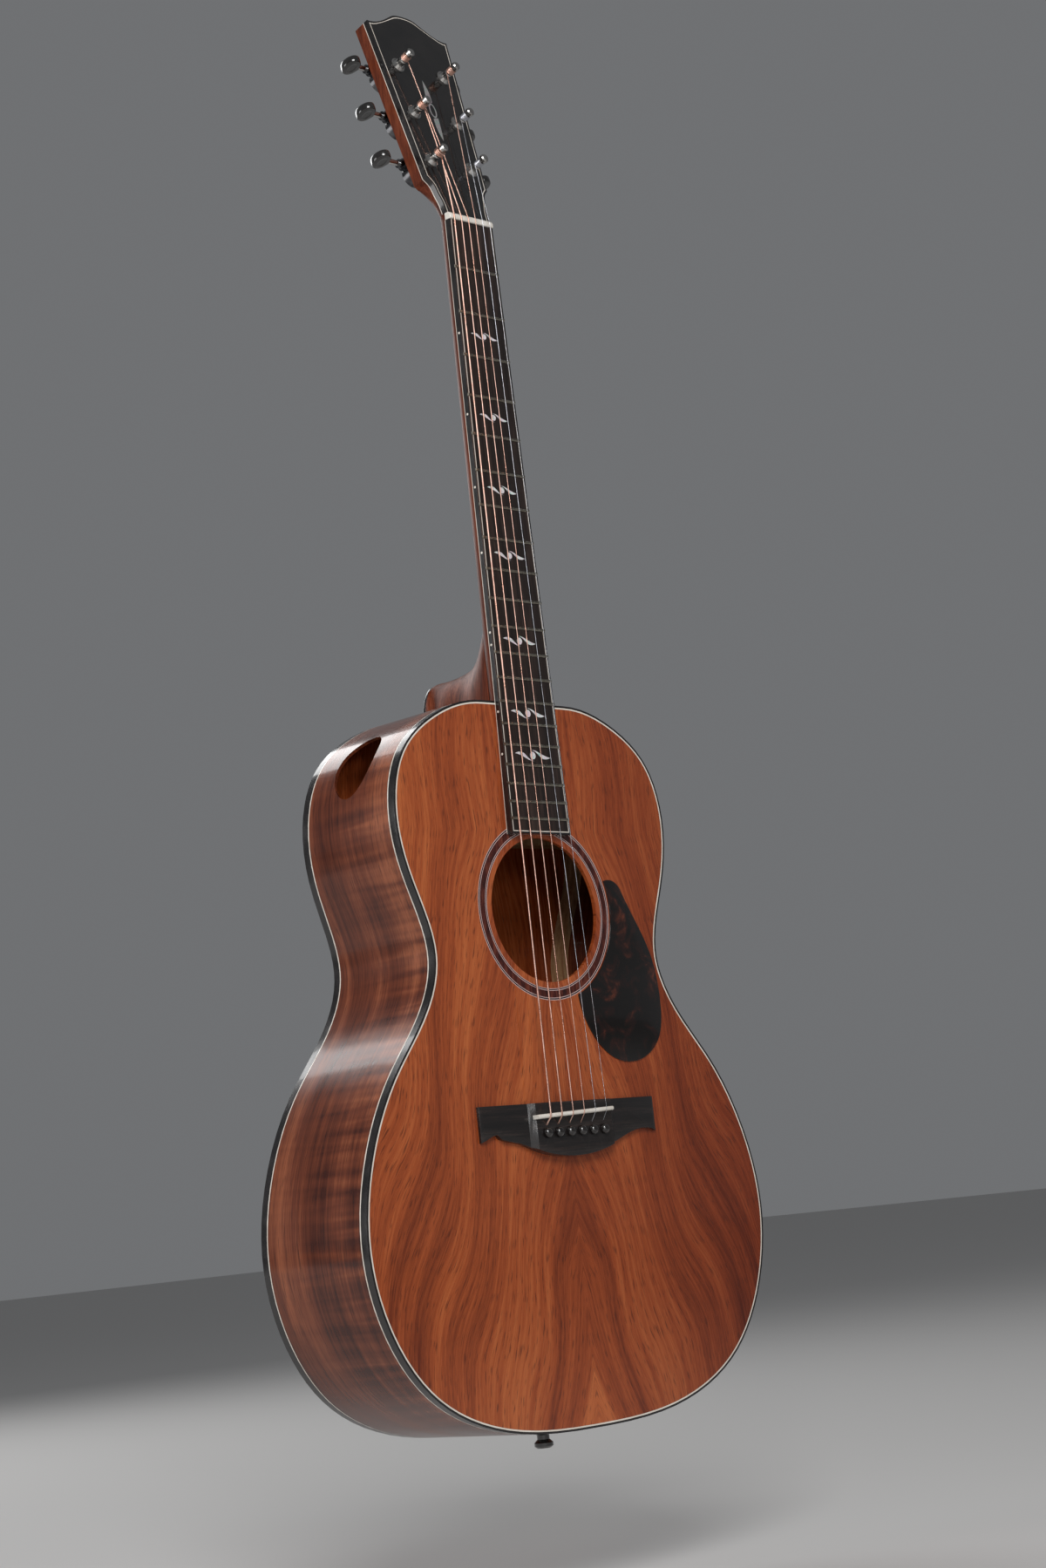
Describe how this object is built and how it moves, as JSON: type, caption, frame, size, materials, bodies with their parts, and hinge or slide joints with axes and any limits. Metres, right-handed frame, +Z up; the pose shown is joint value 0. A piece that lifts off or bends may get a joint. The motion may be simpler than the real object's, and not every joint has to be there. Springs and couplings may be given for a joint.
{
  "type": "acoustic guitar",
  "caption": "Steel-string acoustic guitar with a small waisted body, side port, bound neck and headstock, and geared tuners, held upright by its neck.",
  "frame": {"origin": "middle of the nut's front edge in the plane of the soundboard, where a hanger's yoke holds the neck under the headstock", "axes": "+X to the treble side, +Y from the soundboard into the body, +Z up the neck"},
  "size_m": [0.387, 0.1274, 1.0568],
  "materials": {
    "top_koa": "gloss lacquer over figured straight-grained tonewood",
    "side_koa": "gloss lacquer over curly tonewood",
    "neck_mahogany": "gloss lacquer",
    "inner_wood": "bare spruce and mahogany",
    "board_wood": "oiled dark fingerboard wood",
    "bridge_wood": "oiled ebony",
    "black_binding": "polished black",
    "white_line": "polished cream white",
    "rosette": "red-brown ring between white and black lines",
    "tortoise": "mottled dark tortoise",
    "bone": "polished bone",
    "pearl": "mother of pearl",
    "nickel": "polished nickel",
    "button": "polished dark brown-black",
    "fret_metal": "polished nickel silver",
    "string_metal": "bronze winding over steel, plain steel on the two thinnest",
    "pin_black": "polished black",
    "steel": "plain steel"
  },
  "bodies": {
    "root": {"soundboard": "top_koa", "back": "side_koa", "rib_bass": "side_koa", "rib_treble": "side_koa", "neck_block": "neck_mahogany", "tail_block": "neck_mahogany", "linings": "inner_wood", "top_bracing": "inner_wood", "back_braces": "inner_wood", "binding": "black_binding", "purfling": "white_line", "heel_cap": "black_binding", "rosette": "rosette", "pickguard": "tortoise", "bridge": "bridge_wood", "saddle": "bone", "neck": "neck_mahogany", "fretboard": "board_wood", "frets": "fret_metal", "fret_markers": "pearl", "nut": "bone", "head_plate": "black_binding", "head_ornament": "pearl", "strings": "string_metal", "truss_rod": "steel", "tuner_housings": "nickel", "tuner_bushings": "nickel", "tuner_screws": "nickel"},
    "knob_1": {"tuner_1_button": "button", "tuner_1_worm": "nickel"},
    "post_1": {"tuner_1_post": "nickel", "tuner_1_gear": "steel"},
    "knob_2": {"tuner_2_button": "button", "tuner_2_worm": "nickel"},
    "post_2": {"tuner_2_post": "nickel", "tuner_2_gear": "steel"},
    "knob_3": {"tuner_3_button": "button", "tuner_3_worm": "nickel"},
    "post_3": {"tuner_3_post": "nickel", "tuner_3_gear": "steel"},
    "knob_4": {"tuner_4_button": "button", "tuner_4_worm": "nickel"},
    "post_4": {"tuner_4_post": "nickel", "tuner_4_gear": "steel"},
    "knob_5": {"tuner_5_button": "button", "tuner_5_worm": "nickel"},
    "post_5": {"tuner_5_post": "nickel", "tuner_5_gear": "steel"},
    "knob_6": {"tuner_6_button": "button", "tuner_6_worm": "nickel"},
    "post_6": {"tuner_6_post": "nickel", "tuner_6_gear": "steel"},
    "pin_1": {"bridge_pin_1": "pin_black"},
    "pin_2": {"bridge_pin_2": "pin_black"},
    "pin_3": {"bridge_pin_3": "pin_black"},
    "pin_4": {"bridge_pin_4": "pin_black"},
    "pin_5": {"bridge_pin_5": "pin_black"},
    "pin_6": {"bridge_pin_6": "pin_black"},
    "strap_pin": {"end_pin": "pin_black"},
    "truss_nut": {"truss_nut": "steel"}
  },
  "joints": [
    {"name": "knob_1_turn", "type": "hinge", "parent": "root", "child": "knob_1", "pos_m": [-0.05, 0.03543, 0.05181], "axis": [-1, 0, 0], "continuous": true},
    {"name": "post_1_turn", "type": "hinge", "parent": "root", "child": "post_1", "pos_m": [-0.0201, 0.01439, 0.04944], "axis": [0, -0.9657, 0.2597], "continuous": true},
    {"name": "knob_2_turn", "type": "hinge", "parent": "root", "child": "knob_2", "pos_m": [-0.05, 0.04631, 0.09228], "axis": [-1, 0, 0], "continuous": true},
    {"name": "post_2_turn", "type": "hinge", "parent": "root", "child": "post_2", "pos_m": [-0.0216, 0.02527, 0.08991], "axis": [0, -0.9657, 0.2597], "continuous": true},
    {"name": "knob_3_turn", "type": "hinge", "parent": "root", "child": "knob_3", "pos_m": [-0.05, 0.05714, 0.13255], "axis": [-1, 0, 0], "continuous": true},
    {"name": "post_3_turn", "type": "hinge", "parent": "root", "child": "post_3", "pos_m": [-0.0228, 0.0361, 0.13018], "axis": [0, -0.9657, 0.2597], "continuous": true},
    {"name": "knob_4_turn", "type": "hinge", "parent": "root", "child": "knob_4", "pos_m": [0.05, 0.05714, 0.13255], "axis": [1, 0, 0], "continuous": true},
    {"name": "post_4_turn", "type": "hinge", "parent": "root", "child": "post_4", "pos_m": [0.0228, 0.0361, 0.13018], "axis": [0, -0.9657, 0.2597], "continuous": true},
    {"name": "knob_5_turn", "type": "hinge", "parent": "root", "child": "knob_5", "pos_m": [0.05, 0.04631, 0.09228], "axis": [1, 0, 0], "continuous": true},
    {"name": "post_5_turn", "type": "hinge", "parent": "root", "child": "post_5", "pos_m": [0.0216, 0.02527, 0.08991], "axis": [0, -0.9657, 0.2597], "continuous": true},
    {"name": "knob_6_turn", "type": "hinge", "parent": "root", "child": "knob_6", "pos_m": [0.05, 0.03543, 0.05181], "axis": [1, 0, 0], "continuous": true},
    {"name": "post_6_turn", "type": "hinge", "parent": "root", "child": "post_6", "pos_m": [0.0201, 0.01439, 0.04944], "axis": [0, -0.9657, 0.2597], "continuous": true},
    {"name": "pin_1_pull", "type": "slide", "parent": "root", "child": "pin_1", "axis": [0, -1, 0], "range_m": [0, 0.024]},
    {"name": "pin_2_pull", "type": "slide", "parent": "root", "child": "pin_2", "axis": [0, -1, 0], "range_m": [0, 0.024]},
    {"name": "pin_3_pull", "type": "slide", "parent": "root", "child": "pin_3", "axis": [0, -1, 0], "range_m": [0, 0.024]},
    {"name": "pin_4_pull", "type": "slide", "parent": "root", "child": "pin_4", "axis": [0, -1, 0], "range_m": [0, 0.024]},
    {"name": "pin_5_pull", "type": "slide", "parent": "root", "child": "pin_5", "axis": [0, -1, 0], "range_m": [0, 0.024]},
    {"name": "pin_6_pull", "type": "slide", "parent": "root", "child": "pin_6", "axis": [0, -1, 0], "range_m": [0, 0.024]},
    {"name": "strap_pin_pull", "type": "slide", "parent": "root", "child": "strap_pin", "axis": [0, 0, -1], "range_m": [0, 0.021]},
    {"name": "truss_nut_turn", "type": "hinge", "parent": "root", "child": "truss_nut", "pos_m": [0, 0.0095, -0.37], "axis": [0, 0, 1], "range_deg": [-180, 180]}
  ],
  "couplings": [
    {"joint": "post_1_turn", "follows": "knob_1_turn", "ratio": -0.066667},
    {"joint": "post_2_turn", "follows": "knob_2_turn", "ratio": -0.066667},
    {"joint": "post_3_turn", "follows": "knob_3_turn", "ratio": -0.066667},
    {"joint": "post_4_turn", "follows": "knob_4_turn", "ratio": 0.066667},
    {"joint": "post_5_turn", "follows": "knob_5_turn", "ratio": 0.066667},
    {"joint": "post_6_turn", "follows": "knob_6_turn", "ratio": 0.066667}
  ]
}
